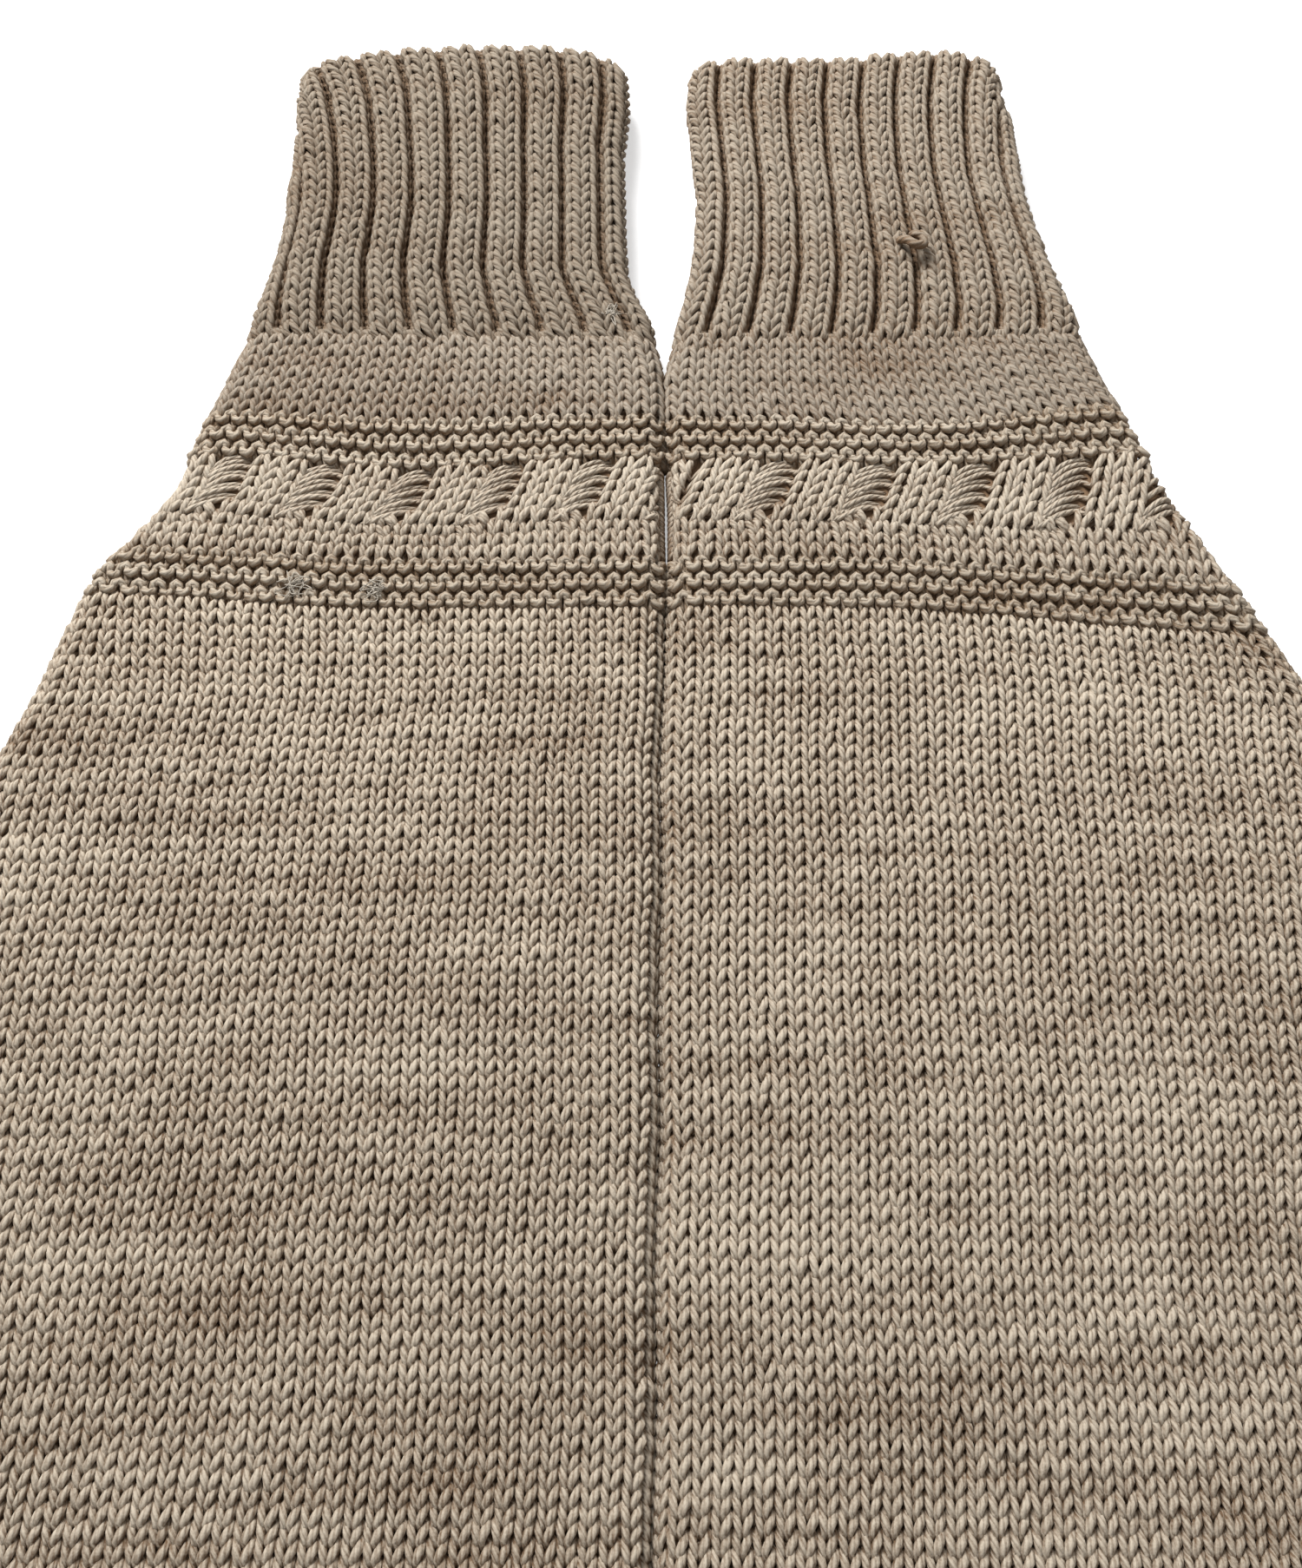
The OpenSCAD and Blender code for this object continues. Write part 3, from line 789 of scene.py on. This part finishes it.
def overcast(hand, low, high):
    """One strand that winds round the two selvedges."""
    turns = int((high - low) / SEAM_STITCH)
    t = np.linspace(0, turns, turns * 9 + 1)
    y = low + (high - low) * t / turns
    stations, _, outer = EDGES[hand]
    x = np.interp(y, stations, outer) - SEAM_IN + SEAM_WIDE * np.cos(t * 2 * math.pi)
    z = MIDDLE + SEAM_HIGH * np.sin(t * 2 * math.pi)
    places = np.stack(settle(hand, x * HANDS[hand], y, z), -1)
    # A fixed depth of 0.6 paints the seam in shade.
    return [(places, np.full(len(t), 0.8), np.full(len(t), 0.6))]


for hand in HANDS:
    for part, body in (("arm", f"{hand}_glove"), ("cuff", f"{hand}_cuff")):
        lo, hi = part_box(f"{hand}_{part}_seam")
        piece = spin(f"{hand}_{part}_overcast", overcast(hand, lo.y + 1 * mm, hi.y - 1 * mm), -1)
        dress(piece, SEAM_WOOL, "seam_wool", body, f"{hand}_{part}_seam")


# ---- Yarn end ------------------------------------------------------------------------
# A short end of wool was left where the knitter joined a new ball. It curls up out of one
# rib on the right cuff. Wear has teased a few fine wisps out of the left glove.
lo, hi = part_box("right_yarn_end")
mid = (lo + hi) / 2 + Vector((-2.4, -2.2, 0)) * mm
# The curl's points in mm from there, across, along and up from the ribs, and its thickness.
CURL = ((-3.2, 2.0, -0.6, .8), (-1.6, 0.6, 1.1, .95), (0.3, -1.6, 1.9, 1.0), (2.2, -1.2, 1.6, 1.0),
        (2.0, 1.1, 1.4, 1.0), (0.4, 2.2, 1.2, .9), (-0.2, 3.2, -0.2, .7))
line = run_through([(mid.x + x * mm, mid.y + y * mm, lo.z + z * mm, thick) for x, y, z, thick in CURL], 26)
# A depth of 0.15 gives the curl a little painted shade.
piece = spin("right_loose_end", [(line[:, :3], 1.5 * line[:, 3], np.full(len(line), 0.15))])
dress(piece, RIBBED_WOOL["right"], "ribbed_wool", "right_cuff", "right_yarn_end")

LOOSE_FIBRES = wool("loose_fibres", (0.66, 0.60, 0.51), (0.50, 0.44, 0.36), 5.0)
# Where the wisps are, in mm across and along, and how far they spread each way.
WISPS = {"left_glove": ((-78, 26, 6, 5), (-61, 25, 4, 4)), "left_cuff": ((-11.5, 98, 3, 3),)}
HAIRS = 8
rng = np.random.default_rng(81)
for body, patches in WISPS.items():
    hairs = []
    for x, y, wide, deep in patches:
        for _ in range(HAIRS):
            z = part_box("left_arm_tube")[1].z + rng.uniform(-0.1, 0.3) * mm
            knots = [(x * mm + rng.normal(0, wide / 3) * mm, y * mm + rng.normal(0, deep / 3) * mm,
                      z + rng.normal(0, 0.3) * mm, 0.16) for _ in range(5)]
            line = run_through(knots, 18)
            hairs.append((line[:, :3], line[:, 3], np.zeros(len(line))))
    dress(spin(f"{body}_wisps", hairs), LOOSE_FIBRES, "ridged_wool", body)


# ---- Shade lining --------------------------------------------------------------------
# A thin dark sheet inside the loops stands for the shade between and behind the stitches: painted shade.
# It closes the gaps between the stitches and lines the hollow of the tube.
SHADE_LINER_THICK = 0.3 * mm
SHADE_LINER_ROWS = 5 * mm           # one row of the grid in this length, at least four in all
SHADE_LINER_SQUARES = 44            # across one face
SHADE_LINER_SINK = {"glove": 0.45 * mm, "cuff": 2.6 * mm}     # under the yarn's middle, and under the grooves
SHADE_LINER_TURN = 1.5 * mm         # how far it goes round the lip of a mouth


def sheet_shade_colour():
    made = bpy.data.materials.new("painted_shade")
    made.use_nodes = True
    tree = made.node_tree
    skin = tree.nodes["Principled BSDF"]
    skin.inputs["Roughness"].default_value = 0.95
    skin.inputs["Specular IOR Level"].default_value = 0.1
    place = node(tree, "ShaderNodeTexCoord").outputs["Object"]
    mottle = node(tree, "ShaderNodeTexNoise", Scale=900.0, Detail=3.0, Vector=place).outputs[0]
    mixed = node(tree, "ShaderNodeMix", {"data_type": "RGBA"}, Factor=mottle)
    # Its dark browns are painted shade.
    mixed.inputs["A"].default_value = (0.20, 0.124, 0.072, 1)
    mixed.inputs["B"].default_value = (0.30, 0.195, 0.118, 1)
    tree.links.new(mixed.outputs["Result"], skin.inputs["Base Color"])
    return made


SHADE_LINER = sheet_shade_colour()


def shade_lining(name, hand, low, high, sink):
    """A thin tube of painted shade inside the loops, from a flat grid for each face laid as the cloth lies.
    """
    felt = bmesh.new()
    rows = max(int((high - low) / SHADE_LINER_ROWS), 4)
    for face in (1, -1):
        grid = bmesh.new()
        bmesh.ops.create_grid(grid, x_segments=SHADE_LINER_SQUARES, y_segments=rows, size=0.5)
        co = np.array([v.co[:] for v in grid.verts])
        y = low + (co[:, 1] + 0.5) * (high - low)
        s = (co[:, 0] + 0.5) * girth(hand, np.clip(y, ARM_END, HAND_END))[2]
        for v, place in zip(grid.verts, lay(hand, face, s, y, np.full(len(y), -sink))):
            v.co = place
        laid = bpy.data.meshes.new("laid")
        grid.to_mesh(laid)
        felt.from_mesh(laid)
        grid.free()
        bpy.data.meshes.remove(laid)
    bmesh.ops.remove_doubles(felt, verts=felt.verts, dist=0.01 * mm)
    bmesh.ops.recalc_face_normals(felt, faces=felt.faces)
    bmesh.ops.solidify(felt, geom=felt.faces[:], thickness=SHADE_LINER_THICK)
    for f in felt.faces:
        f.smooth = True
    mesh = bpy.data.meshes.new(name)
    felt.to_mesh(mesh)
    felt.free()
    piece = bpy.data.objects.new(name, mesh)
    bpy.context.scene.collection.objects.link(piece)
    return piece


for hand in HANDS:
    piece = shade_lining(f"{hand}_glove_backing", hand, ARM_END - SHADE_LINER_TURN, FOLD, SHADE_LINER_SINK["glove"])
    dress(piece, SHADE_LINER, "plain_wool", f"{hand}_glove")
    piece = shade_lining(f"{hand}_cuff_backing", hand, FOLD, HAND_END + SHADE_LINER_TURN, SHADE_LINER_SINK["cuff"])
    dress(piece, SHADE_LINER, "ribbed_wool", f"{hand}_cuff")


# ---- Table, light and camera ---------------------------------------------------------
# A white table that shows a faint contact shadow, soft light from above, and a camera
# that looks down on the cuffs from the arm end.
TABLE_GLOW = 0.48        # the table is lit up to white for the camera alone
ROOM_LIGHT = 0.37
ROOM_SEEN = 0.43         # added to the room's light where the camera looks past the table

bpy.ops.mesh.primitive_plane_add(size=4)
table = bpy.context.object
table.name = "table"
top = bpy.data.materials.new("white_table")
top.use_nodes = True
tree = top.node_tree
paint = tree.nodes["Principled BSDF"]
paint.inputs["Base Color"].default_value = (0.86, 0.86, 0.86, 1)
paint.inputs["Roughness"].default_value = 0.9
seen = node(tree, "ShaderNodeLightPath").outputs["Is Camera Ray"]
glow = node(tree, "ShaderNodeEmission", Color=(1, 1, 1, 1), Strength=sums(tree, "MULTIPLY", seen, TABLE_GLOW))
both = node(tree, "ShaderNodeAddShader", _0=paint.outputs[0], _1=glow.outputs[0])
tree.links.new(both.outputs[0], tree.nodes["Material Output"].inputs["Surface"])
table.data.materials.append(top)
table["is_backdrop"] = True

scene = bpy.context.scene
scene.world = bpy.data.worlds.new("studio")
scene.world.use_nodes = True
room = scene.world.node_tree
room.nodes["Background"].inputs["Color"].default_value = (1, 1, 1, 1)
seen = node(room, "ShaderNodeLightPath").outputs["Is Camera Ray"]
strength = sums(room, "MULTIPLY_ADD", seen, ROOM_SEEN, ROOM_LIGHT)
room.links.new(strength, room.nodes["Background"].inputs["Strength"])
scene.view_settings.view_transform = "Standard"

light = bpy.data.lights.new("window", "AREA")
light.energy, light.size = 11.5, 0.42
window = bpy.data.objects.new("window", light)
scene.collection.objects.link(window)
window.location = (-0.30, 0.62, 0.55)
window.rotation_euler = (-window.location).to_track_quat("-Z", "Y").to_euler()

lens = bpy.data.cameras.new("camera")
lens.sensor_width = 36
lens.lens = 31.9
camera = bpy.data.objects.new("camera", lens)
scene.collection.objects.link(camera)
camera.location = (-0.0027, -0.1224, 0.2677)
camera.rotation_euler = (math.radians(90 - 68), 0, 0)      # it looks down at 68 degrees
scene.camera = camera

lo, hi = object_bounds()
